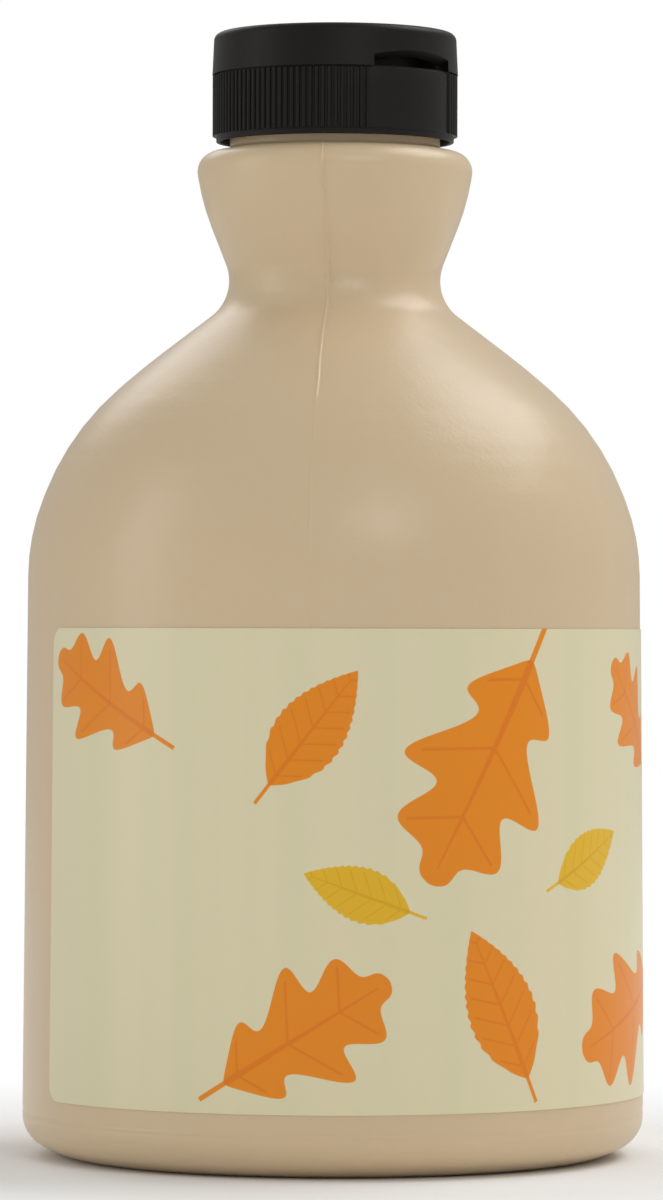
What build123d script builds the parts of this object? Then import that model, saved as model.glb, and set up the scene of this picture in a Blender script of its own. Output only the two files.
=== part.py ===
from build123d import *
import os
from math import cos, radians, sin, tan

# Blow-moulded jug of 946 ml with a flip-top closure and a wrap-round label.
# Units are millimetres. +Z runs up the jug's axis and Z = 0 is the plane it stands on.
# The mould parts on the YZ plane, so its parting lines run up the -Y and +Y sides.
# The label's front faces +X and the strip that it leaves bare faces -X.

os.makedirs("parts", exist_ok=True)

# ---------------------------------------------------------------- driving sizes: jug
body_radius = 51.5            # radius at the foot of the wall
wall_height = 102.5           # height where the wall starts to lean into the shoulder
wall_draft = 0.8              # how much narrower the wall is at its top
heel_inset = 7.4              # the standing ring's outer edge, in from the wall
heel_height = 3.2             # how high the corner under the wall begins
heel_radii = (12.2, 5.8)      # lower and upper rounding of that corner
standing_ring_width = 9.0     # flat ring that the jug rests on
push_up_depth = 2.2           # how far the middle of the base is raised
push_up_run = 4.0             # width of the slope between the ring and the raised middle
push_up_radii = (4.0, 2.0)

shoulder_break_rise = 17.2    # from the wall's top to the steeper part of the shoulder
shoulder_break_inset = 6.65   # how far in the shoulder has come at that break
shoulder_cone_rise = 10.8     # the straight cone above the break
shoulder_cone_inset = 12.3
waist_rise = 12.0             # the last, flatter stretch down to the waist's corner
waist_corner_radius = 16.0
shoulder_radii = (36.0, 44.5, 120.0)

collar_flare_rise = 15.4      # from the waist's corner up the flared collar
collar_flare_out = 6.05
collar_rise = 7.85            # from there up to the collar's rounded brim
collar_out = 1.25
collar_top_rise = 1.15        # the brim's sloping top, up to the neck finish
waist_radius = 7.5            # rounding in the waist
collar_radii = (39.0, 3.3, 0.5)

neck_radius = 17.45           # root of a 38 mm neck finish
neck_height = 10.6            # neck finish above the collar

# ------------------------------------------------------------- driving sizes: closure
mouth_depth = 3.5             # how deep the closure is open round the neck
band_wall = 0.75              # wall of the smooth band below the ribbed skirt
band_height = 1.0
skirt_step = 0.6              # how far the ribs stand out from the band
skirt_height = 10.15          # ribbed skirt, from the band up to the lid
rib_count = 120               # places round the whole skirt
rib_depth = 0.35
rib_groove_width = 0.5
reveal_height = 0.25          # plain ring that shows as a line under the lid
reveal_inset = 0.55

thumb_angle = 46.8            # middle of the thumb panel, from -Y towards +X
thumb_span = 48.2             # degrees that the thumb panel takes of the skirt
thumb_panel_inset = 0.28      # the smooth panel lies this far under the ribs' tops
notch_height = 2.8            # thumb notch in the lid's edge, at its middle
notch_slope = 0.53            # fall of the notch's ceiling for each unit inwards
notch_depth = 3.4
pocket_wall = 2.0             # lid wall in front of the hollow behind the notch
pocket_depth = 2.9
pocket_height = 2.9
pocket_span = 44.0

hinge_span = 40.0             # degrees of the skirt that the hinge takes, opposite the thumb
hinge_width = 11.0
hinge_rise = 1.6              # hinge recess above and below the line under the lid
hinge_depth = 0.7

lid_height = 7.0
lid_overhang = 0.07           # how far the lid's lower edge stands out over the ribs
lid_taper = 0.32              # how much narrower the lid is at its top
lid_corner_radius = 1.3

# --------------------------------------------------------------- driving sizes: label
label_bottom = 10.6
label_top_margin = 15.2       # from the label's top up to where the wall starts to lean in
label_span = 297.0            # degrees that the label wraps
label_front = 90.0            # middle of the label, from -Y towards +X
label_thickness = 0.15
label_corner_radius = 2.8

# ------------------------------------------------------------------ named clearances
closure_play = 0.1            # radial play between the neck and the closure's bore
mouth_gap = 1.55              # open ring between the neck and the closure's mouth
closure_lift = 1.1            # open gap between the collar's top and the closure's band
adhesive_gap = 0.03           # layer of adhesive between the wall and the label


# ------------------------------------------------------------------- worked-out sizes
def direction(angle):
    """Horizontal unit vector at an angle from -Y towards +X."""
    return Vector(sin(radians(angle)), -cos(radians(angle)), 0)


def turned_plane(angle, height=0.0):
    """Plane through the axis: local X points out at the angle, local Y points up."""
    outward = direction(angle)
    sideways = outward.cross(Vector(0, 0, 1))
    return Plane(origin=(0, 0, height), x_dir=outward, z_dir=sideways)


def fitting_radii(points, radii):
    """Corner radii, limited where the straight runs between corners are too short."""
    corners = [Vector(*point) for point in points]
    reach = [0.0]
    for before, corner, after, radius in zip(corners, corners[1:], corners[2:], radii):
        turn = (corner - before).get_angle(after - corner)
        reach.append(radius * tan(radians(turn) / 2))
    reach.append(0.0)
    limited = []
    for i, radius in enumerate(radii, start=1):
        below = (corners[i] - corners[i - 1]).length / (reach[i - 1] + reach[i])
        above = (corners[i + 1] - corners[i]).length / (reach[i] + reach[i + 1])
        limited.append(radius * min(1.0, 0.98 * below, 0.98 * above))
    return limited


ring_outer = body_radius - heel_inset
ring_inner = ring_outer - standing_ring_width
wall_top_radius = body_radius - wall_draft
shoulder_break = (wall_top_radius - shoulder_break_inset, wall_height + shoulder_break_rise)
cone_top = (shoulder_break[0] - shoulder_cone_inset, shoulder_break[1] + shoulder_cone_rise)
waist_corner = (waist_corner_radius, cone_top[1] + waist_rise)
flare_top = (waist_corner[0] + collar_flare_out, waist_corner[1] + collar_flare_rise)
collar_brim = (flare_top[0] + collar_out, flare_top[1] + collar_rise)
collar_top = collar_brim[1] + collar_top_rise
neck_top = collar_top + neck_height

jug_outline = [
    (0, push_up_depth),
    (ring_inner - push_up_run, push_up_depth),
    (ring_inner, 0),
    (ring_outer, 0),
    (body_radius, heel_height),
    (wall_top_radius, wall_height),
    shoulder_break,
    cone_top,
    waist_corner,
    flare_top,
    collar_brim,
    (neck_radius, collar_top),
    (neck_radius, neck_top),
]
jug_radii = fitting_radii(
    jug_outline,
    [*push_up_radii, *heel_radii, *shoulder_radii, waist_radius, *collar_radii],
)

mouth_radius = neck_radius + mouth_gap
band_radius = mouth_radius + band_wall
skirt_radius = band_radius + skirt_step
lid_radius = skirt_radius + lid_overhang
band_bottom = collar_top + closure_lift
skirt_bottom = band_bottom + band_height
parting = skirt_bottom + skirt_height
closure_bore_radius = neck_radius + closure_play
rib_root_radius = skirt_radius - rib_depth
reveal_radius = skirt_radius - reveal_inset
hinge_angle = thumb_angle + 180
lid_top = parting + lid_height

# ------------------------------------------------------------------------------- jug
with BuildPart() as jug:
    with BuildSketch(Plane.XZ):
        with BuildLine():
            FilletPolyline(*jug_outline, radius=jug_radii)
            Polyline(jug_outline[-1], (0, neck_top), jug_outline[0])
        make_face()
    revolve(axis=Axis.Z)
jug.part.label = "jug"


# ----------------------------------------------------------------------------- label
def wall_radius_at(height):
    """Radius of the straight wall at a height."""
    share = (height - heel_height) / (wall_height - heel_height)
    return body_radius - wall_draft * share


label_top = wall_height - label_top_margin
label_low = wall_radius_at(label_bottom) + adhesive_gap
label_high = wall_radius_at(label_top) + adhesive_gap

with BuildPart() as label:
    with BuildSketch(turned_plane(label_front - label_span / 2)):
        with BuildLine():
            Polyline(
                (label_low, label_bottom),
                (label_low + label_thickness, label_bottom),
                (label_high + label_thickness, label_top),
                (label_high, label_top),
                close=True,
            )
        make_face()
    revolve(axis=Axis.Z, revolution_arc=label_span)
    corner_edges = [
        edge for edge in label.edges().filter_by(GeomType.LINE)
        if edge.length < label_thickness * 1.5
    ]
    fillet(corner_edges, radius=label_corner_radius)
label.part.label = "label"


# --------------------------------------------------------------------------- closure
def apart(angle, other):
    """Smallest angle between two directions, in degrees."""
    return abs((angle - other + 180) % 360 - 180)


def groove_angles():
    """Angles of the grooves between ribs, clear of the thumb panel and the hinge."""
    pitch = 360 / rib_count
    angles = [thumb_angle + pitch * (i + 0.5) for i in range(rib_count)]
    return [
        angle for angle in angles
        if apart(angle, thumb_angle) > thumb_span / 2 + pitch / 2
        and apart(angle, hinge_angle) > hinge_span / 2 + pitch / 2
    ]


with BuildPart() as closure_base:
    # ribbed skirt
    with BuildSketch(Plane.XY.offset(skirt_bottom)):
        Circle(skirt_radius)
        for groove in groove_angles():
            with Locations(direction(groove) * skirt_radius):
                Rectangle(2 * rib_depth, rib_groove_width, rotation=groove - 90, mode=Mode.SUBTRACT)
    extrude(amount=skirt_height - reveal_height)
    # smooth thumb panel, a little under the ribs' tops
    with BuildSketch(turned_plane(thumb_angle - thumb_span / 2)):
        with BuildLine():
            Polyline(
                (skirt_radius - thumb_panel_inset, skirt_bottom),
                (skirt_radius + 1, skirt_bottom),
                (skirt_radius + 1, parting),
                (skirt_radius - thumb_panel_inset, parting),
                close=True,
            )
        make_face()
    revolve(axis=Axis.Z, revolution_arc=thumb_span, mode=Mode.SUBTRACT)
    # plain ring under the lid, and the band under the skirt
    with BuildSketch(Plane.XY.offset(skirt_bottom)):
        Circle(reveal_radius)
    extrude(amount=skirt_height)
    with BuildSketch(Plane.XY.offset(band_bottom)):
        Circle(band_radius)
    extrude(amount=band_height)
    # open mouth round the neck, and the bore that the neck fills
    with BuildSketch(Plane.XY.offset(band_bottom)):
        Circle(mouth_radius)
    extrude(amount=mouth_depth, mode=Mode.SUBTRACT)
    with BuildSketch(Plane.XY.offset(band_bottom)):
        Circle(closure_bore_radius)
    extrude(amount=neck_top - band_bottom, mode=Mode.SUBTRACT)
    # recess of the hinge
    with BuildSketch(turned_plane(hinge_angle).offset(-hinge_width / 2)):
        with Locations((skirt_radius, parting - hinge_rise)):
            Rectangle(2 * hinge_depth, 2 * hinge_rise, align=(Align.CENTER, Align.MIN))
    extrude(amount=hinge_width, mode=Mode.SUBTRACT)
closure_base.part.label = "closure_base"

with BuildPart() as closure_lid:
    with BuildSketch(Plane.XZ):
        with BuildLine():
            FilletPolyline(
                (lid_radius, parting),
                (lid_radius - lid_taper, lid_top),
                (0, lid_top),
                radius=lid_corner_radius,
            )
            Polyline((0, lid_top), (0, parting), (lid_radius, parting))
        make_face()
    revolve(axis=Axis.Z)
    # thumb notch, whose ceiling falls inwards
    notch_half_width = skirt_radius * sin(radians(thumb_span / 2))
    notch_outer = lid_radius + 1
    notch_inner = lid_radius - notch_depth
    with BuildSketch(turned_plane(thumb_angle, parting).offset(-notch_half_width)):
        with BuildLine():
            Polyline(
                (notch_inner, -1),
                (notch_outer, -1),
                (notch_outer, notch_height + notch_slope * (notch_outer - lid_radius)),
                (notch_inner, notch_height - notch_slope * notch_depth),
                close=True,
            )
        make_face()
    extrude(amount=2 * notch_half_width, mode=Mode.SUBTRACT)
    # hollow behind the notch
    with BuildSketch(turned_plane(thumb_angle - pocket_span / 2, parting)):
        with Locations((lid_radius - pocket_wall, -1)):
            Rectangle(pocket_depth, pocket_height + 1, align=(Align.MAX, Align.MIN))
    revolve(axis=Axis.Z, revolution_arc=pocket_span, mode=Mode.SUBTRACT)
    # recess of the hinge
    with BuildSketch(turned_plane(hinge_angle).offset(-hinge_width / 2)):
        with Locations((skirt_radius, parting - hinge_rise)):
            Rectangle(2 * hinge_depth, 2 * hinge_rise, align=(Align.CENTER, Align.MIN))
    extrude(amount=hinge_width, mode=Mode.SUBTRACT)
closure_lid.part.label = "closure_lid"

# ---------------------------------------------------------------------------- export
export_step(jug.part, "parts/jug.step")
export_step(label.part, "parts/label.step")
export_step(closure_base.part, "parts/closure_base.step")
export_step(closure_lid.part, "parts/closure_lid.step")
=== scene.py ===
"""Looks of a shut plastic syrup jug: blow-moulded jug, wrap-round label and black flip-top closure.

Every length is in metres and every angle in degrees, unless a name says otherwise.
"""

import logging
import math
from dataclasses import dataclass, field
from enum import Enum

import bmesh
import bpy
from mathutils import Euler, Matrix, Vector


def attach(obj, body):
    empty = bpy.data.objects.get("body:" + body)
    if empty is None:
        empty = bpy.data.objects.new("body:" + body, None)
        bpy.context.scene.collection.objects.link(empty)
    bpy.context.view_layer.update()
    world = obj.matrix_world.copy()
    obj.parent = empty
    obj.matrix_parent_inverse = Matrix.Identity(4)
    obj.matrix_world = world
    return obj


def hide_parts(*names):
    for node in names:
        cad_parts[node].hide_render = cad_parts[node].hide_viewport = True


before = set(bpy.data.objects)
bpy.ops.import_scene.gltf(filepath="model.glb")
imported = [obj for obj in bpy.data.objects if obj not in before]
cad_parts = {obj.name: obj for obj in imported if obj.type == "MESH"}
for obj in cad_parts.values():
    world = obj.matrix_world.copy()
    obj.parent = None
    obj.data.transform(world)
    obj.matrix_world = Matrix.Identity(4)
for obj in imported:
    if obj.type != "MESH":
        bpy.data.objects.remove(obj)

LOG = logging.getLogger("syrup_jug")
MM = 0.001
BODY = "root"
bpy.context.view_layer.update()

Colour = tuple[float, float, float]
Corner = tuple[float, float]


# ------------------------------------------------------------------------ node graphs
class Value:
    """A number socket whose operators add Math nodes to its graph."""

    def __init__(self, graph: "Graph", socket: bpy.types.NodeSocket) -> None:
        """Keeps the socket and the graph that it belongs to."""
        self.graph = graph
        self.socket = socket

    def _with(self, operation: str, *others: "Value | float") -> "Value":
        """Adds one Math node that takes this value first."""
        return self.graph.math(operation, self, *others)

    def __add__(self, other: "Value | float") -> "Value":
        """Sum."""
        return self._with("ADD", other)

    def __sub__(self, other: "Value | float") -> "Value":
        """Difference."""
        return self._with("SUBTRACT", other)

    def __rsub__(self, other: float) -> "Value":
        """Difference from a plain number."""
        return self.graph.math("SUBTRACT", other, self)

    def __mul__(self, other: "Value | float") -> "Value":
        """Product."""
        return self._with("MULTIPLY", other)

    def __truediv__(self, other: "Value | float") -> "Value":
        """Quotient."""
        return self._with("DIVIDE", other)

    def __pow__(self, other: "Value | float") -> "Value":
        """Power."""
        return self._with("POWER", other)

    def __neg__(self) -> "Value":
        """Negative."""
        return self._with("MULTIPLY", -1.0)

    __radd__ = __add__
    __rmul__ = __mul__

    def size(self) -> "Value":
        """Absolute value."""
        return self._with("ABSOLUTE")

    def above(self, other: "Value | float") -> "Value":
        """1 where this value is greater than the other."""
        return self._with("GREATER_THAN", other)

    def most(self, other: "Value | float") -> "Value":
        """The larger of two values."""
        return self._with("MAXIMUM", other)

    def least(self, other: "Value | float") -> "Value":
        """The smaller of two values."""
        return self._with("MINIMUM", other)

    def clamped(self) -> "Value":
        """Value held between 0 and 1."""
        return self.most(0.0).least(1.0)

    def bell(self, width: float) -> "Value":
        """Smooth hump of height 1 round zero."""
        scaled = self / width
        return self.graph.math("EXPONENT", -(scaled * scaled))


class Graph:
    """A shader or geometry node tree that is written as Python expressions."""

    def __init__(self, tree: bpy.types.NodeTree) -> None:
        """Keeps the tree that nodes are added to."""
        self.tree = tree

    def node(self, kind: str, settings: dict | None = None, values: dict | None = None) -> bpy.types.Node:
        """Adds a node, sets its settings first and then its sockets.

        Args:
            kind: Blender's node type.
            settings: attributes of the node, such as its operation.
            values: sockets by name or number, each a number, a socket or a Value.

        Returns:
            The new node.
        """
        made = self.tree.nodes.new(kind)
        for name, setting in (settings or {}).items():
            setattr(made, name, setting)
        for key, value in (values or {}).items():
            self.feed(made.inputs[key], value)
        return made

    def feed(self, socket: bpy.types.NodeSocket, value: object) -> None:
        """Links or sets one input socket."""
        if isinstance(value, Value):
            value = value.socket
        if isinstance(value, bpy.types.NodeSocket):
            self.tree.links.new(value, socket)
        elif value is not None:
            socket.default_value = value

    def value(self, socket: bpy.types.NodeSocket) -> Value:
        """Wraps an output socket."""
        return Value(self, socket)

    def math(self, operation: str, *values: Value | float) -> Value:
        """Adds a Math node."""
        made = self.node("ShaderNodeMath", {"operation": operation}, dict(enumerate(values)))
        return self.value(made.outputs[0])

    def split(self, vector: object) -> tuple[Value, Value, Value]:
        """Parts of a vector."""
        made = self.node("ShaderNodeSeparateXYZ", values={0: vector})
        return tuple(self.value(socket) for socket in made.outputs)

    def join(self, x: object, y: object, z: object) -> bpy.types.NodeSocket:
        """Vector from three numbers."""
        return self.node("ShaderNodeCombineXYZ", values={0: x, 1: y, 2: z}).outputs[0]


class Paint(Graph):
    """A material's node tree with one Principled shader."""

    def __init__(self, name: str) -> None:
        """Makes an empty material of that name."""
        self.material = bpy.data.materials.new(name)
        self.material.use_nodes = True
        super().__init__(self.material.node_tree)
        self.tree.nodes.clear()
        self.output = self.node("ShaderNodeOutputMaterial")

    def place(self) -> bpy.types.NodeSocket:
        """Object coordinates, in metres."""
        return self.node("ShaderNodeTexCoord").outputs["Object"]

    def noise(self, vector: object, scale: float, detail: float = 2.0, roughness: float = 0.5) -> Value:
        """Noise texture.

        Args:
            vector: where it is read.
            scale: cycles for each metre, or for each unit of the vector.
            detail: octaves.
            roughness: how much the finer octaves count.

        Returns:
            Its value from 0 to 1.
        """
        made = self.node("ShaderNodeTexNoise", values={
            "Vector": vector, "Scale": scale, "Detail": detail, "Roughness": roughness})
        return self.value(made.outputs[0])

    def mix(self, share: Value, low: object, high: object) -> bpy.types.NodeSocket:
        """Mix of two colours, given as three numbers or as sockets."""
        made = self.node("ShaderNodeMix", {"data_type": "RGBA"})
        self.feed(made.inputs["Factor"], share)
        for key, colour in ((6, low), (7, high)):
            self.feed(made.inputs[key], (*colour, 1.0) if isinstance(colour, tuple) else colour)
        return made.outputs[2]

    def bump(self, height: Value, distance: float, strength: float = 1.0) -> bpy.types.NodeSocket:
        """Bump normal from a height between 0 and 1 that stands for a distance."""
        made = self.node("ShaderNodeBump", values={
            "Height": height, "Distance": distance, "Strength": strength})
        return made.outputs[0]

    def finish(self, **sockets: object) -> bpy.types.Material:
        """Ends the tree in a Principled shader with these sockets, spaces written as _."""
        values = {name.replace("_", " "): value for name, value in sockets.items()}
        shader = self.node("ShaderNodeBsdfPrincipled", values=values)
        self.tree.links.new(shader.outputs[0], self.output.inputs["Surface"])
        return self.material


# --------------------------------------------------------------------------- finishes
@dataclass(frozen=True)
class JugPlastic:
    """Tan blow-moulded polyethylene with a soft pebble and a waxy sheen."""

    pale: Colour = (0.700, 0.545, 0.348)
    deep: Colour = (0.655, 0.500, 0.312)
    roughness: float = 0.33
    pebble: float = 0.00035

    def material(self) -> bpy.types.Material:
        """Builds the material."""
        paint = Paint("jug_plastic")
        place = paint.place()
        cloud = paint.noise(place, 28.0, 3.0)
        x, y, z = paint.split(place)
        streaks = paint.noise(paint.join(x * 260.0, y * 260.0, z * 5.0), 1.0, 2.0)
        patches = (paint.noise(place, 45.0, 2.0) * 2.4 - 0.7).clamped()
        peel = paint.noise(place, 1350.0, 1.5, 0.6)
        swell = paint.noise(place, 120.0, 2.0)
        drawn = paint.noise(paint.join(x * 420.0, y * 420.0, z * 14.0), 1.0, 2.0)
        scuff = (paint.noise(paint.join(x * 900.0, y * 900.0, z * 30.0), 1.0, 1.0) - 0.70).clamped() * 3.0
        height = peel * (0.10 + patches * 0.10) + swell * 0.55 + drawn * 0.12
        return paint.finish(
            Base_Color=paint.mix((cloud * 0.7 + streaks * 0.3 - 0.2).clamped(), self.pale, self.deep),
            Roughness=(cloud * 0.10 + streaks * 0.05 + scuff * 0.25 + (self.roughness - 0.08)).clamped(),
            Normal=paint.bump(height, self.pebble, 0.6),
            IOR=1.5,
            Subsurface_Weight=0.12,
            Subsurface_Radius=(0.006, 0.004, 0.002),
            Subsurface_Scale=0.6,
        )


@dataclass(frozen=True)
class ClosurePlastic:
    """Black polypropylene with a fine spark-eroded grain."""

    name: str = "closure_plastic"
    dark: Colour = (0.0062, 0.0052, 0.0038)
    worn: Colour = (0.0105, 0.0090, 0.0068)
    roughness: float = 0.44
    grain: float = 0.00006

    def material(self) -> bpy.types.Material:
        """Builds the material."""
        paint = Paint(self.name)
        place = paint.place()
        cloud = paint.noise(place, 120.0, 3.0)
        grain = paint.noise(place, 5200.0, 2.0)
        speck = (paint.noise(place, 2600.0, 1.0) - 0.72).clamped() * 4.0
        return paint.finish(
            Base_Color=paint.mix((cloud * 0.8 + speck * 0.5).clamped(), self.dark, self.worn),
            Roughness=(cloud * 0.12 + grain * 0.10 + (self.roughness - 0.1)).clamped(),
            Normal=paint.bump(grain, self.grain, 0.5),
            IOR=1.42,
            Specular_IOR_Level=0.30,
        )


@dataclass(frozen=True)
class Blade:
    """Shape of one kind of leaf, measured in halves of its length.

    Args:
        sweep: how far lobes and side veins lean towards the tip.
        closing: how its ends close, blunt when small.
        half_width: half its mean width.
        wave: depth of its lobes or teeth.
        wave_rate: radians of that wave for each unit along the midrib.
        wave_start: radians where the wave starts.
        narrowing: how much both ends narrow.
        swelling: how much it widens towards the tip, less than 0 where it narrows.
        vein_rate: side veins for each unit along the midrib.
    """

    sweep: float
    closing: float
    half_width: float
    wave: float
    wave_rate: float
    wave_start: float
    narrowing: float
    swelling: float
    vein_rate: float


class Motif(Enum):
    """Kinds of printed leaf."""

    OAK = Blade(sweep=0.55, closing=0.62, half_width=0.50, wave=0.17, wave_rate=10.2, wave_start=2.2,
                narrowing=0.22, swelling=0.18, vein_rate=10.2 / math.tau)
    BEECH = Blade(sweep=0.75, closing=0.95, half_width=0.47, wave=0.012, wave_rate=44.0, wave_start=0.0,
                  narrowing=0.0, swelling=-0.25, vein_rate=3.6)


@dataclass(frozen=True)
class Leaf:
    """One printed leaf, in millimetres along and up the label.

    Args:
        motif: its kind.
        along: its middle, along the label from its left end.
        up: its middle, above the label's bottom edge.
        length: half its length, stem left out.
        turn: anticlockwise turn from upright, in degrees.
        yellow: whether it is printed yellow, not orange.
    """

    motif: Motif
    along: float
    up: float
    length: float
    turn: float
    yellow: bool = False


LEAVES: tuple[Leaf, ...] = (
    Leaf(Motif.OAK, 14.0, 66.0, 13.5, 62.0),
    Leaf(Motif.BEECH, 53.0, 61.0, 11.5, -38.0),
    Leaf(Motif.OAK, 81.0, 54.0, 20.0, 152.0),
    Leaf(Motif.BEECH, 60.0, 35.0, 9.0, 70.0, True),
    Leaf(Motif.OAK, 52.0, 13.0, 15.5, -58.0),
    Leaf(Motif.BEECH, 84.0, 17.0, 13.0, 24.0),
    Leaf(Motif.BEECH, 104.0, 40.0, 9.0, -64.0, True),
    Leaf(Motif.OAK, 121.0, 63.0, 12.5, 48.0),
    Leaf(Motif.OAK, 118.0, 14.0, 17.0, 108.0),
    Leaf(Motif.BEECH, 150.0, 57.0, 12.0, 12.0),
    Leaf(Motif.BEECH, 148.0, 14.0, 9.0, -72.0, True),
    Leaf(Motif.OAK, 176.0, 60.0, 17.5, -132.0),
    Leaf(Motif.OAK, 181.0, 17.0, 14.0, 34.0),
    Leaf(Motif.BEECH, 206.0, 38.0, 11.0, -20.0),
    Leaf(Motif.BEECH, 219.0, 66.0, 9.0, 76.0, True),
    Leaf(Motif.OAK, 253.0, 11.0, 13.0, 118.0),
)


@dataclass(frozen=True)
class LabelFilm:
    """Cream printed film: flat leaves with veins on a pale ground, painted with vertical glare bands."""

    length_mm: float
    height_mm: float
    # cream and cool are the warmer and cooler tones of the painted glare bands on the ground.
    cream: Colour = (0.800, 0.715, 0.470)
    cool: Colour = (0.735, 0.700, 0.455)
    orange: Colour = (0.860, 0.275, 0.002)
    deep_orange: Colour = (0.790, 0.190, 0.001)
    yellow: Colour = (0.820, 0.500, 0.012)
    deep_yellow: Colour = (0.740, 0.370, 0.006)
    ink_edge_mm: float = 0.12
    stem_half: float = 0.026
    stem_from: float = 0.6
    stem_to: float = 1.32
    midrib_half: float = 0.020
    midrib_taper: float = 0.014
    midrib_end: float = 0.86
    vein_half: float = 0.013
    vein_reach: float = 0.82
    roughness: float = 0.34

    def _leaf(self, paint: Paint, leaf: Leaf, along: Value, up: Value) -> tuple[Value, Value]:
        """Mask of one leaf and of its veins.

        Args:
            paint: the material's graph.
            leaf: what to draw.
            along: millimetres from the label's left end.
            up: millimetres above its bottom edge.

        Returns:
            The leaf's mask and the veins' mask.
        """
        cosine, sine = math.cos(math.radians(leaf.turn)), math.sin(math.radians(leaf.turn))
        right, rise = along - leaf.along, up - leaf.up
        across = ((right * cosine + rise * sine) / leaf.length).size()
        stem_way = (rise * cosine - right * sine) / leaf.length
        shape: Blade = leaf.motif.value
        swept = stem_way - across * shape.sweep
        squared = stem_way * stem_way
        inside = (1.0 - squared).most(0.0)
        wave = paint.math("COSINE", swept * shape.wave_rate + shape.wave_start)
        half = (inside ** shape.closing) * (shape.half_width + shape.wave * wave)
        half = half * (1.0 - shape.narrowing * squared) * (1.0 + shape.swelling * stem_way)
        edge = self.ink_edge_mm / leaf.length
        blade = ((half - across) / edge + 0.5).clamped() * inside.above(0.0)
        stem = ((self.stem_half - across) / edge + 0.5).clamped()
        stem = stem * stem_way.above(-self.stem_to) * (-stem_way).above(self.stem_from)
        rib_half = self.midrib_half - self.midrib_taper * stem_way
        midrib = ((rib_half - across) / edge + 0.5).clamped() * (self.midrib_end - stem_way).above(0.0)
        ahead = 50.0 + shape.wave_start / math.tau
        turns = swept * shape.vein_rate + ahead
        nearest = (paint.math("FRACT", turns + 0.5) - 0.5).size() / shape.vein_rate
        veins = ((self.vein_half - nearest) / edge + 0.5).clamped()
        veins = veins * (half * self.vein_reach - across).above(0.0)
        return blade.most(stem), midrib.most(veins) * blade

    def material(self) -> bpy.types.Material:
        """Builds the material from the film's own map."""
        paint = Paint("label_film")
        u, v, _ = paint.split(paint.node("ShaderNodeUVMap", {"uv_map": "film"}).outputs[0])
        along, up = u * self.length_mm, v * self.height_mm
        place = paint.place()
        slow = paint.noise(place, 22.0, 2.0)
        # Vertical stripes of warmer and cooler cream along the film: painted glare bands.
        glare_bands = paint.noise(paint.join(u * 30.0, 0.0, 0.0), 1.0, 1.0)
        colour = paint.mix((glare_bands * 1.6 - 0.4).clamped(), self.cream, self.cool)
        tint = (slow * 1.6 - 0.3).clamped()
        for leaf in LEAVES:
            blade, veins = self._leaf(paint, leaf, along, up)
            flat, dark = (self.yellow, self.deep_yellow) if leaf.yellow else (self.orange, self.deep_orange)
            rich = tuple(a * 0.72 + b * 0.28 for a, b in zip(flat, dark))
            ink = paint.mix(veins * 0.8, paint.mix(tint, flat, rich), dark)
            colour = paint.mix(blade, colour, ink)
        fine = paint.noise(place, 700.0, 2.0)
        return paint.finish(
            Base_Color=colour,
            Roughness=(slow * 0.08 + fine * 0.04 + (self.roughness - 0.05)).clamped(),
            Normal=paint.bump(fine * 0.3 + slow * 0.7, 0.0004, 0.18),
            IOR=1.46,
        )


# ---------------------------------------------------------------------- mesh helpers
def add_object(name: str, mesh: bpy.types.Mesh) -> bpy.types.Object:
    """Links a new object for a mesh to the scene."""
    made = bpy.data.objects.new(name, mesh)
    bpy.context.scene.collection.objects.link(made)
    return made


def shade(piece: bpy.types.Object, angle: float = 180.0) -> None:
    """Smooth shading, with edges sharper than the angle kept crisp."""
    mesh = piece.data
    mesh.polygons.foreach_set("use_smooth", [True] * len(mesh.polygons))
    if angle < 180.0:
        mesh.set_sharp_from_angle(angle=math.radians(angle))
    mesh.update()


def rounded(corners: list[Corner], radii: list[float], step: float = 8.0) -> list[Corner]:
    """Points of a line of straight runs with rounded corners.

    Args:
        corners: the line's corners, first and last included.
        radii: one radius for each corner between them.
        step: most degrees that one chord of an arc turns.

    Returns:
        The points in order.
    """
    points = [Vector(corners[0])]
    for before, corner, after, radius in zip(corners, corners[1:], corners[2:], radii):
        here = Vector(corner)
        back, ahead = (Vector(before) - here).normalized(), (Vector(after) - here).normalized()
        opening = back.angle(ahead)
        turn = math.pi - opening
        if radius <= 0.0 or turn < 1e-4:
            points.append(here)
            continue
        reach = radius / math.tan(opening / 2)
        centre = here + (back + ahead).normalized() * (radius / math.sin(opening / 2))
        start, end = here + back * reach - centre, here + ahead * reach - centre
        count = max(2, math.ceil(math.degrees(turn) / step))
        sign = 1.0 if start.x * end.y - start.y * end.x > 0 else -1.0
        for i in range(count + 1):
            angle = sign * turn * i / count
            points.append(centre + Vector((start.x * math.cos(angle) - start.y * math.sin(angle),
                                           start.x * math.sin(angle) + start.y * math.cos(angle))))
    points.append(Vector(corners[-1]))
    return [(point.x, point.y) for point in points]


def evenly(points: list[Corner], longest: float) -> list[Corner]:
    """The same line with no run longer than a limit."""
    result = [points[0]]
    for start, end in zip(points, points[1:]):
        run = math.dist(start, end)
        if run < 1e-9:
            continue
        count = max(1, math.ceil(run / longest))
        result += [(start[0] + (end[0] - start[0]) * i / count,
                    start[1] + (end[1] - start[1]) * i / count) for i in range(1, count + 1)]
    return result


def outward(angle: float) -> Vector:
    """Horizontal unit vector at an angle from -Y towards +X, in degrees."""
    return Vector((math.sin(math.radians(angle)), -math.cos(math.radians(angle)), 0.0))


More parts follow.
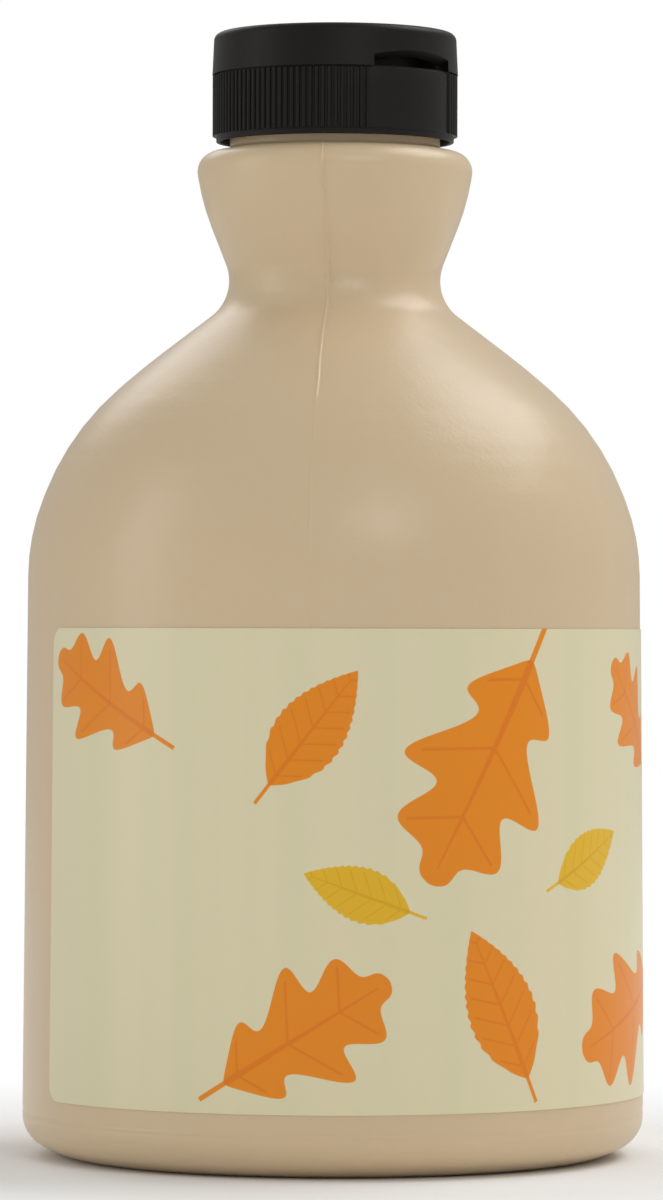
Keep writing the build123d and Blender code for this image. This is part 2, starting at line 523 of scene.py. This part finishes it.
def lathe(name: str, outline: list[Corner], segments: int) -> bpy.types.Object:
    """Turns an outline, given outside upwards from the axis to the axis, into a closed mesh."""
    work = bmesh.new()
    rings = []
    for radius, height in outline:
        if radius < 1e-7:
            rings.append([work.verts.new((0.0, 0.0, height))])
        else:
            rings.append([work.verts.new(outward(360.0 * i / segments) * radius + Vector((0, 0, height)))
                          for i in range(segments)])
    for low, high in zip(rings, rings[1:]):
        for i in range(segments):
            j = (i + 1) % segments
            if len(low) == 1:
                work.faces.new((low[0], high[j], high[i]))
            elif len(high) == 1:
                work.faces.new((low[i], low[j], high[0]))
            else:
                work.faces.new((low[i], low[j], high[j], high[i]))
    bmesh.ops.recalc_face_normals(work, faces=work.faces)
    mesh = bpy.data.meshes.new(name)
    work.to_mesh(mesh)
    work.free()
    return add_object(name, mesh)


class GeometryTree(Graph):
    """A Geometry Nodes tree with named inputs."""

    def __init__(self, name: str, sizes: dict[str, float]) -> None:
        """Makes a tree with a geometry input and one float input for each size."""
        tree = bpy.data.node_groups.new(name, "GeometryNodeTree")
        super().__init__(tree)
        tree.interface.new_socket("Geometry", in_out="INPUT", socket_type="NodeSocketGeometry")
        tree.interface.new_socket("Geometry", in_out="OUTPUT", socket_type="NodeSocketGeometry")
        self.sizes = sizes
        self.identifiers = {
            size: tree.interface.new_socket(
                size, in_out="INPUT", socket_type="NodeSocketFloat").identifier
            for size in sizes
        }
        self.inputs = self.node("NodeGroupInput").outputs
        self.result = self.node("NodeGroupOutput")

    def size(self, name: str) -> Value:
        """One of the tree's named inputs."""
        return self.value(self.inputs[name])

    def end(self, geometry: bpy.types.NodeSocket, material: bpy.types.Material) -> None:
        """Ends the tree in Realize Instances and Set Material."""
        real = self.node("GeometryNodeRealizeInstances", values={0: geometry})
        dressed = self.node("GeometryNodeSetMaterial", values={
            "Geometry": real.outputs[0], "Material": material})
        self.tree.links.new(dressed.outputs[0], self.result.inputs[0])

    def grow(self, piece: bpy.types.Object) -> bpy.types.Object:
        """Runs the tree on an object and leaves its result there as a plain mesh."""
        modifier = piece.modifiers.new(self.tree.name, "NODES")
        modifier.node_group = self.tree
        for name, identifier in self.identifiers.items():
            modifier[identifier] = float(self.sizes[name])
        graph = bpy.context.evaluated_depsgraph_get()
        mesh = bpy.data.meshes.new_from_object(piece.evaluated_get(graph))
        piece.modifiers.clear()
        mesh.name = piece.name
        piece.data = mesh
        return piece


# ------------------------------------------------------------------------------- jug
@dataclass(frozen=True)
class Bend:
    """One corner of the jug's outline, in millimetres.

    Args:
        where: what the corner is.
        out: its distance from the axis.
        up: its height above the floor.
        rounding: the radius that rounds it.
    """

    where: str
    out: float
    up: float
    rounding: float = 0.0


BENDS: tuple[Bend, ...] = (
    Bend("middle of the raised base", 0.0, 2.2),
    Bend("edge of the raised base", 30.7, 2.2, 4.0),
    Bend("standing ring, inside", 35.1, 0.0, 2.0),
    Bend("standing ring, outside", 44.1, 0.0, 12.2),
    Bend("heel", 51.5, 3.2, 5.8),
    Bend("top of the wall", 50.7, 102.5, 35.2),
    Bend("shoulder's break", 44.05, 119.7, 43.6),
    Bend("shoulder's cone", 31.75, 130.5, 117.0),
    Bend("waist", 16.0, 142.5, 7.5),
    Bend("collar's flare", 22.05, 157.9, 39.0),
    Bend("collar's brim", 23.3, 165.75, 3.3),
    Bend("collar's top, at the neck", 17.45, 166.9, 0.5),
    Bend("neck's top edge", 17.45, 177.5, 0.6),
    Bend("middle of the neck's top", 0.0, 177.5),
)


@dataclass
class Jug:
    """Blow-moulded jug, turned from its outline, with the mould's parting lines raised on it.

    Args:
        finish: its plastic.
        body_radius: wall's radius at the heel.
        wall_top_radius: wall's radius under the shoulder.
        heel_height: height of the wall's foot.
        wall_height: height of the wall's top.
        collar_top: height of the collar's top.
        segments: faces round the jug.
        crowding: how far those faces gather towards the two parting lines.
        widest: most distance of the plain wall from the axis.
        seam: height of the line where the base insert meets the mould.
        seam_wall: wall's radius beside that line.
        seam_rise: how far that line stands out.
        seam_spread: half the width of that line.
        seam_step: distance between the rings that shape it.
        ridge_height: how far a parting line stands out on the shoulder and neck.
        ridge_width: half its width.
        faint_height: how far it stands out below.
        ridge_end: height where the strong part ends.
        neck_start: height where its wander on the neck sets in.
        neck_blend: height over which it does.
        neck_rest: height on the neck where it stands true.
        neck_sway: how far it wanders on the neck.
        neck_wave: length of that wander, over a full turn in radians.
        body_sway: how far it wanders below.
        body_wave: length of that wander, over a full turn in radians.
        jitter: its fine unevenness sideways.
        jitter_rate: radians of that unevenness for each metre of height.
        rugged: its unevenness in height, as a share.
        rugged_rates: radians for each metre of height of the two waves in that unevenness.
        raised_base: radius inside which no parting line shows under the jug.
    """

    finish: JugPlastic = field(default_factory=JugPlastic)
    body_radius: float = 51.5 * MM
    wall_top_radius: float = 50.7 * MM
    heel_height: float = 3.2 * MM
    wall_height: float = 102.5 * MM
    collar_top: float = 166.9 * MM
    segments: int = 380
    crowding: float = 0.84
    widest: float = 51.455 * MM
    seam: float = 7.25 * MM
    seam_wall: float = 51.395 * MM
    seam_rise: float = 0.07 * MM
    seam_spread: float = 0.22 * MM
    seam_step: float = 0.12 * MM
    ridge_height: float = 0.34 * MM
    ridge_width: float = 0.17 * MM
    faint_height: float = 0.05 * MM
    ridge_end: float = 124.0 * MM
    neck_start: float = 128.0 * MM
    neck_blend: float = 10.0 * MM
    neck_rest: float = 156.5 * MM
    neck_sway: float = 0.38 * MM
    neck_wave: float = 6.5 * MM
    body_sway: float = 0.35 * MM
    body_wave: float = 21.0 * MM
    jitter: float = 0.03 * MM
    jitter_rate: float = 1100.0
    rugged: float = 0.30
    rugged_rates: tuple[float, float] = (1900.0, 730.0)
    raised_base: float = 30.0 * MM

    def outline(self) -> list[Corner]:
        """Outline from the middle of the base up to the neck's top, in metres."""
        corners = [(bend.out, bend.up) for bend in BENDS]
        line = rounded(corners, [bend.rounding for bend in BENDS[1:-1]], 6.0)
        points = [(out * MM, up * MM) for out, up in evenly(line, 1.6)]
        reach = 5 * self.seam_step
        near_wall = self.body_radius - 1.5 * MM
        plain = [(min(out, self.widest), up) for out, up in points
                 if out <= near_wall or abs(up - self.seam) >= reach]
        steps = [k * self.seam_step for k in range(-4, 5)]
        ring = [(self.seam_wall + self.seam_rise * math.exp(-(step / self.seam_spread) ** 2),
                 self.seam + step) for step in steps]
        at = next(i for i, (out, up) in enumerate(plain) if out > near_wall and up > self.seam)
        return plain[:at] + ring + plain[at:]

    def _wander(self, tree: GeometryTree, height: Value) -> Value:
        """How far a parting line strays sideways from its plane at a height."""
        on_neck = ((height - self.neck_start) / self.neck_blend).clamped()
        neck = tree.math("SINE", (self.neck_rest - height) / self.neck_wave) * self.neck_sway
        body = (tree.math("SINE", height / self.body_wave) * 0.6 + 0.6) * self.body_sway
        fine = tree.math("SINE", height * self.jitter_rate) * self.jitter
        return neck * on_neck + (1.0 - on_neck) * body + fine

    def _rise(self, tree: GeometryTree, radius: Value, height: Value) -> Value:
        """How far a parting line stands out at a place on the outline.

        Args:
            tree: the jug's tree.
            radius: the outline's distance from the axis.
            height: the outline's height.

        Returns:
            The rise, strong above the ridge's end, faint below it, and none on the neck and the raised base.
        """
        strong, faint = tree.size("Ridge Height"), tree.size("Faint Height")
        past_end = height - tree.size("Ridge End")
        upper = (past_end / (1.0 * MM) + 0.5).clamped()
        nick = past_end.bell(0.8 * MM)
        below = ((tree.size("Collar Top") - height) / (0.6 * MM)).clamped()
        first, second = (tree.math("SINE", height * rate) for rate in self.rugged_rates)
        uneven = 1.0 + self.rugged * first * second
        outside = radius.above(self.raised_base).most(height.above(20.0 * MM))
        return (upper * (strong - faint) + faint) * uneven * below * (1.0 - 0.8 * nick) * outside

    def build(self) -> bpy.types.Object:
        """Builds the jug by Geometry Nodes from its outline."""
        outline = self.outline()
        mesh = bpy.data.meshes.new("jug_outline")
        mesh.from_pydata([(radius, 0.0, height) for radius, height in outline],
                         [(i, i + 1) for i in range(len(outline) - 1)], [])
        piece = add_object("jug_shell", mesh)
        tree = GeometryTree("turned_jug", {
            "Segments": self.segments, "Rings": len(outline), "Ridge Height": self.ridge_height,
            "Ridge Width": self.ridge_width, "Faint Height": self.faint_height, "Ridge End": self.ridge_end,
            "Crowding": self.crowding, "Collar Top": self.collar_top})
        segments, rings = tree.size("Segments"), tree.size("Rings")
        grid = tree.node("GeometryNodeMeshGrid", values={
            "Size X": 1.0, "Size Y": 1.0, "Vertices X": segments + 1.0, "Vertices Y": rings})
        position = tree.node("GeometryNodeInputPosition").outputs[0]
        across, level, _ = tree.split(position)
        index = tree.math("ROUND", (level + 0.5) * (rings - 1.0))
        sampled = tree.node("GeometryNodeSampleIndex", {"data_type": "FLOAT_VECTOR"}, {
            "Geometry": tree.inputs["Geometry"],
            "Value": tree.node("GeometryNodeInputPosition").outputs[0], "Index": index})
        radius, _, height = tree.split(sampled.outputs[0])
        turn = (across + 0.5) * math.tau
        angle = turn - tree.size("Crowding") * 0.5 * tree.math("SINE", turn * 2.0)
        sine, cosine = tree.math("SINE", angle), tree.math("COSINE", angle)
        off = sine * radius - self._wander(tree, height) * (cosine / cosine.size().most(0.001))
        raised = radius + self._rise(tree, radius, height) * (off / tree.size("Ridge Width")).bell(1.0)
        moved = tree.node("GeometryNodeSetPosition", values={
            "Geometry": grid.outputs[0],
            "Position": tree.join(raised * sine, -(raised * cosine), height)})
        closed = tree.node("GeometryNodeMergeByDistance", values={
            "Geometry": moved.outputs[0], "Distance": 0.002 * MM})
        tree.end(closed.outputs[0], self.finish.material())
        tree.grow(piece)
        work = bmesh.new()
        work.from_mesh(piece.data)
        bmesh.ops.remove_doubles(work, verts=work.verts, dist=0.001 * MM)
        bmesh.ops.recalc_face_normals(work, faces=work.faces)
        work.to_mesh(piece.data)
        work.free()
        shade(piece)
        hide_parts("jug")
        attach(piece, BODY)
        return piece

    def wall_radius(self, height: float) -> float:
        """Radius of the straight wall at a height."""
        share = (height - self.heel_height) / (self.wall_height - self.heel_height)
        return self.body_radius + (self.wall_top_radius - self.body_radius) * share


# ----------------------------------------------------------------------------- label
@dataclass
class Label:
    """Wrap-round film with rounded corners.

    Args:
        jug: the jug that it is wrapped on.
        bottom: height of its lower edge.
        top: height of its upper edge.
        front: where its middle faces, from -Y towards +X.
        span: turn that it takes.
        corner: radius of its corners.
        gap: adhesive between it and the wall.
        thickness: of the film.
        columns: faces along it.
        rows: faces up it.
        corner_steps: chords in each rounded corner.
    """

    jug: Jug
    bottom: float = 10.6 * MM
    top: float = 87.3 * MM
    front: float = 90.0
    span: float = 297.0
    corner: float = 2.8 * MM
    gap: float = 0.03 * MM
    thickness: float = 0.13 * MM
    columns: int = 240
    rows: int = 48
    corner_steps: int = 6

    def _alongs(self, length: float) -> list[float]:
        """Places of the film's columns along it, crowded in its rounded corners."""
        quarter = [math.radians(90 * i / self.corner_steps) for i in range(self.corner_steps + 1)]
        bend = [self.corner * (1 - math.cos(turn)) for turn in quarter]
        plain = length - 2 * self.corner
        inner = [self.corner + plain * i / self.columns for i in range(1, self.columns)]
        return bend + inner + [length - along for along in reversed(bend)]

    def _cut(self, near: float) -> float:
        """How far a rounded corner takes the film's edge in, at a distance from the film's end."""
        if near >= self.corner:
            return 0.0
        return self.corner - math.sqrt(max(0.0, self.corner ** 2 - (self.corner - near) ** 2))

    def _close(self, work: bmesh.types.BMesh, outer: list[list], under: list[list]) -> None:
        """Joins the film's outer and inner grids of vertices into one closed shell.

        Args:
            work: the mesh being built.
            outer: vertices of the printed face, column by column.
            under: vertices of the glued face, in the same order.
        """
        last = len(outer) - 1
        for i in range(last):
            for row in range(self.rows):
                work.faces.new((outer[i][row], outer[i + 1][row], outer[i + 1][row + 1], outer[i][row + 1]))
                work.faces.new((under[i][row], under[i][row + 1], under[i + 1][row + 1], under[i + 1][row]))
            for row in (0, self.rows):
                work.faces.new((outer[i][row], under[i][row], under[i + 1][row], outer[i + 1][row]))
        for i in (0, last):
            for row in range(self.rows):
                work.faces.new((outer[i][row], outer[i][row + 1], under[i][row + 1], under[i][row]))
        bmesh.ops.recalc_face_normals(work, faces=work.faces)

    def build(self) -> bpy.types.Object:
        """Builds the film as a closed thin shell with its own map."""
        length = math.radians(self.span) * self.jug.wall_radius((self.bottom + self.top) / 2)
        height = self.top - self.bottom
        outer, under = [], []
        work = bmesh.new()
        film = work.loops.layers.uv.new("film")
        flat: dict[bmesh.types.BMVert, Corner] = {}
        for along in self._alongs(length):
            cut = self._cut(min(along, length - along))
            columns = ([], [])
            for row in range(self.rows + 1):
                level = self.bottom + cut + (height - 2 * cut) * row / self.rows
                place = outward(self.front - self.span / 2 + self.span * along / length)
                base = self.jug.wall_radius(level) + self.gap
                for column, offset in zip(columns, (self.thickness, 0.0)):
                    vertex = work.verts.new(place * (base + offset) + Vector((0, 0, level)))
                    flat[vertex] = (along / length, (level - self.bottom) / height)
                    column.append(vertex)
            outer.append(columns[0])
            under.append(columns[1])
        self._close(work, outer, under)
        for face in work.faces:
            for loop in face.loops:
                loop[film].uv = flat[loop.vert]
        mesh = bpy.data.meshes.new("label_film")
        work.to_mesh(mesh)
        work.free()
        piece = add_object("label_film", mesh)
        finish = LabelFilm(length_mm=length / MM, height_mm=height / MM)
        mesh.materials.append(finish.material())
        shade(piece, 40.0)
        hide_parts("label")
        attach(piece, BODY)
        return piece


# --------------------------------------------------------------------------- closure
@dataclass
class Closure:
    """Black flip-top closure: a ribbed skirt under a lid with a thumb notch.

    Args:
        finish: its plastic.
        band_bottom: height of the smooth band's lower edge.
        skirt_bottom: height of the ribbed skirt's lower edge.
        parting: height where skirt and lid meet.
        mouth_radius: radius of the open mouth.
        mouth_top: height of the mouth's ceiling.
        neck_hole: radius of the hole that the neck fills.
        band_radius: outer radius of the band.
        skirt_radius: outer radius over the ribs.
        reveal: height of the recess under the lid.
        reveal_inset: how far that recess goes in behind the ribs' root.
        edge: rounding of the band's edges.
        rib_depth: how far a rib stands out.
        rib_count: ribs in a full turn.
        rib_share: half a rib's width over the space between two ribs' middles.
        rib_margin: turn left bare beside the thumb panel and the hinge.
        thumb_angle: where the thumb panel faces, from -Y towards +X.
        thumb_span: turn that the thumb panel takes.
        hinge_span: turn that the hinge takes.
    """

    finish: ClosurePlastic = field(default_factory=ClosurePlastic)
    band_bottom: float = 168.0 * MM
    skirt_bottom: float = 169.0 * MM
    parting: float = 179.15 * MM
    mouth_radius: float = 19.0 * MM
    mouth_top: float = 171.5 * MM
    neck_hole: float = 17.55 * MM
    band_radius: float = 19.75 * MM
    skirt_radius: float = 20.35 * MM
    reveal: float = 0.25 * MM
    reveal_inset: float = 0.2 * MM
    edge: float = 0.12 * MM
    rib_depth: float = 0.35 * MM
    rib_count: int = 120
    rib_share: float = 0.36
    rib_margin: float = 1.5
    thumb_angle: float = 46.8
    thumb_span: float = 48.2
    hinge_span: float = 40.0

    def core(self) -> bpy.types.Object:
        """Builds the plain core of the skirt, with its band and open mouth."""
        root = self.skirt_radius - self.rib_depth
        behind, groove = root - self.reveal_inset, self.parting - self.reveal
        corners = [
            (self.neck_hole, self.mouth_top), (self.mouth_radius, self.mouth_top),
            (self.mouth_radius, self.band_bottom), (self.band_radius, self.band_bottom),
            (self.band_radius, self.skirt_bottom), (root, self.skirt_bottom),
            (root, groove), (behind, groove), (behind, self.parting), (0.0, self.parting),
        ]
        radii = [0.0, self.edge, self.edge, 0.05 * MM, 0.05 * MM, 0.08 * MM, 0.0, 0.0]
        outline = [(0.0, self.mouth_top)] + rounded(corners, radii, 30.0)
        piece = lathe("closure_skirt", evenly(outline, 4 * MM), 360)
        piece.data.materials.append(self.finish.material())
        shade(piece, 35.0)
        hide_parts("closure_base")
        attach(piece, BODY)
        return piece

    def ribs(self) -> bpy.types.Object:
        """Sets the ribs round the core by Geometry Nodes, clear of the thumb panel and the hinge."""
        piece = add_object("closure_ribs", bpy.data.meshes.new("closure_ribs"))
        tree = GeometryTree("skirt_ribs", {
            "Count": self.rib_count, "Root Radius": self.skirt_radius - self.rib_depth,
            "Rib Depth": self.rib_depth, "Bottom": self.skirt_bottom + 0.02 * MM,
            "Top": self.parting - 0.27 * MM, "Thumb Angle": self.thumb_angle,
            "Thumb Half Span": self.thumb_span / 2, "Hinge Half Span": self.hinge_span / 2})
        count = tree.size("Count")
        spots = tree.node("GeometryNodePoints", values={"Count": count})
        index = tree.value(tree.node("GeometryNodeInputIndex").outputs[0])
        angle = tree.size("Thumb Angle") + index * 360.0 / count
        turned = angle * (math.pi / 180.0)
        radius = tree.size("Root Radius")
        placed = tree.node("GeometryNodeSetPosition", values={
            "Geometry": spots.outputs[0],
            "Position": tree.join(radius * tree.math("SINE", turned), -(radius * tree.math("COSINE", turned)),
                                  (tree.size("Bottom") + tree.size("Top")) * 0.5)})
        from_thumb = (tree.math("FRACT", index / count + 0.5) - 0.5).size() * 360.0
        hidden = (tree.size("Thumb Half Span") + self.rib_margin).above(from_thumb)
        hidden = hidden.most(from_thumb.above(180.0 - tree.size("Hinge Half Span") - self.rib_margin))
        kept = tree.node("GeometryNodeDeleteGeometry", {"domain": "POINT"}, {
            "Geometry": placed.outputs[0], "Selection": hidden})
        rib = tree.node("GeometryNodeMeshCylinder", {"fill_type": "NGON"}, {
            "Vertices": 16, "Radius": 1.0, "Depth": 1.0})
        width = radius * (math.tau * self.rib_share) / count
        instances = tree.node("GeometryNodeInstanceOnPoints", values={
            "Points": kept.outputs[0], "Instance": rib.outputs["Mesh"],
            "Rotation": tree.join(0.0, 0.0, turned),
            "Scale": tree.join(width, tree.size("Rib Depth"), tree.size("Top") - tree.size("Bottom"))})
        tree.end(instances.outputs[0], self.finish.material())
        tree.grow(piece)
        shade(piece, 40.0)
        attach(piece, BODY)
        return piece

    def dress_lid(self) -> None:
        """Gives the lid its grain."""
        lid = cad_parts["closure_lid"]
        lid.data.materials.clear()
        lid.data.materials.append(self.finish.material())

    def build(self) -> None:
        """Builds every piece of the closure."""
        self.core()
        self.ribs()
        self.dress_lid()


# ---------------------------------------------------------------------------- studio
@dataclass(frozen=True)
class Lamp:
    """One soft rectangular lamp that faces the jug.

    Args:
        name: the lamp's name.
        azimuth: where it stands, from -Y towards +X.
        distance: metres from the jug's axis.
        height: metres above the floor.
        size: width and height in metres.
        watts: its power.
    """

    name: str
    azimuth: float
    distance: float
    height: float
    size: Corner
    watts: float


LAMPS: tuple[Lamp, ...] = (
    Lamp("overhead", azimuth=118.0, distance=0.95, height=1.25, size=(1.1, 0.8), watts=9.0),
    Lamp("front", azimuth=24.0, distance=1.25, height=0.75, size=(0.45, 0.45), watts=2.2),
    Lamp("left", azimuth=-72.0, distance=1.1, height=0.40, size=(0.4, 0.9), watts=1.6),
    Lamp("back_left", azimuth=-150.0, distance=1.1, height=0.9, size=(0.6, 0.6), watts=2.0),
)


@dataclass
class Studio:
    """Pale floor, soft lamps and the camera.

    Args:
        view_azimuth: where the camera stands, from -Y towards +X.
        view_distance: from the jug's axis to the camera.
        view_height: of the camera above the floor.
        lens: focal length, in millimetres.
        sensor: sensor width, in millimetres.
        pitch: how far the camera looks up.
        swing: how far it turns past the jug's axis.
        roll: its turn about its own line of sight.
        lamp_aim: height that the lamps are aimed at.
        mirror_level: strength of the surroundings in reflections.
        fill_level: strength of the surroundings as light.
        floor_radius: radius of the floor.
        floor_white: how pale the floor is.
        fade_start: distance from the axis where the floor starts to fade into the surroundings.
        fade_run: distance over which it fades.
    """

    view_azimuth: float = 4.5
    view_distance: float = 978.5 * MM
    view_height: float = 87.3 * MM
    lens: float = 176.64
    sensor: float = 36.0
    pitch: float = 0.27636
    swing: float = 0.02335
    roll: float = 0.14
    lamp_aim: float = 90.0 * MM
    mirror_level: float = 0.42
    fill_level: float = 0.50
    floor_radius: float = 1.6
    floor_white: float = 0.93
    fade_start: float = 75.0 * MM
    fade_run: float = 90.0 * MM

    def camera(self) -> None:
        """Creates the camera, nearly level."""
        data = bpy.data.cameras.new("camera")
        data.sensor_width = self.sensor
        data.lens = self.lens
        camera = bpy.data.objects.new("camera", data)
        bpy.context.scene.collection.objects.link(camera)
        camera.location = outward(self.view_azimuth) * self.view_distance + Vector((0, 0, self.view_height))
        aim = Euler((math.radians(90.0 + self.pitch), 0.0, math.radians(self.view_azimuth + self.swing)))
        turn = aim.to_matrix() @ Matrix.Rotation(math.radians(self.roll), 3, "Z")
        camera.rotation_euler = turn.to_euler()
        bpy.context.scene.camera = camera

    def hang(self, lamp: Lamp) -> None:
        """Adds a lamp and turns it to the jug."""
        data = bpy.data.lights.new(lamp.name, "AREA")
        data.shape = "RECTANGLE"
        data.size, data.size_y = lamp.size
        data.energy = lamp.watts
        made = bpy.data.objects.new(lamp.name, data)
        bpy.context.scene.collection.objects.link(made)
        made.location = outward(lamp.azimuth) * lamp.distance + Vector((0, 0, lamp.height))
        sight = Vector((0, 0, self.lamp_aim)) - made.location
        made.rotation_euler = sight.to_track_quat("-Z", "Y").to_euler()

    def world(self) -> None:
        """White surroundings for the eye and for reflections, a softer level for the light."""
        world = bpy.data.worlds.new("surroundings")
        bpy.context.scene.world = world
        world.use_nodes = True
        graph = Graph(world.node_tree)
        graph.tree.nodes.clear()
        path = graph.node("ShaderNodeLightPath")
        seen = graph.value(path.outputs["Is Camera Ray"])
        seen = seen.most(graph.value(path.outputs["Is Transmission Ray"]))
        mirrored = graph.value(path.outputs["Is Glossy Ray"])
        level = mirrored * self.mirror_level + (1.0 - mirrored) * self.fill_level
        strength = seen + (1.0 - seen) * level
        back = graph.node("ShaderNodeBackground", values={0: (1.0, 1.0, 1.0, 1.0), 1: strength})
        out = graph.node("ShaderNodeOutputWorld")
        graph.tree.links.new(back.outputs[0], out.inputs[0])

    def floor(self) -> None:
        """Round pale floor that fades into the white surroundings and keeps the jug's shadow."""
        mesh = bpy.data.meshes.new("floor")
        work = bmesh.new()
        bmesh.ops.create_circle(work, cap_ends=True, segments=96, radius=self.floor_radius)
        work.to_mesh(mesh)
        work.free()
        floor = add_object("floor", mesh)
        paint = Paint("floor")
        x, y, _ = paint.split(paint.place())
        away = paint.math("SQRT", x * x + y * y)
        seen = paint.value(paint.node("ShaderNodeLightPath").outputs["Is Camera Ray"])
        fade = ((away - self.fade_start) / self.fade_run).clamped() * seen
        cover = paint.node("ShaderNodeBsdfDiffuse", values={0: (*(self.floor_white,) * 3, 1.0)})
        glow = paint.node("ShaderNodeEmission", values={0: (1.0, 1.0, 1.0, 1.0), 1: 1.0})
        mixed = paint.node("ShaderNodeMixShader", values={0: fade, 1: cover.outputs[0], 2: glow.outputs[0]})
        paint.tree.links.new(mixed.outputs[0], paint.output.inputs["Surface"])
        mesh.materials.append(paint.material)

    def build(self) -> None:
        """Builds the studio."""
        self.camera()
        self.world()
        self.floor()
        for lamp in LAMPS:
            self.hang(lamp)
        bpy.context.scene.view_settings.view_transform = "Standard"


def main() -> None:
    """Builds the jug, its label, its closure and the studio."""
    logging.basicConfig(level=logging.INFO, format="%(message)s")
    jug = Jug()
    for piece in (jug.build(), Label(jug).build()):
        LOG.info("%s: %d faces", piece.name, len(piece.data.polygons))
    Closure().build()
    LOG.info("closure: skirt, ribs and lid")
    Studio().build()


if __name__ == "__main__":
    main()
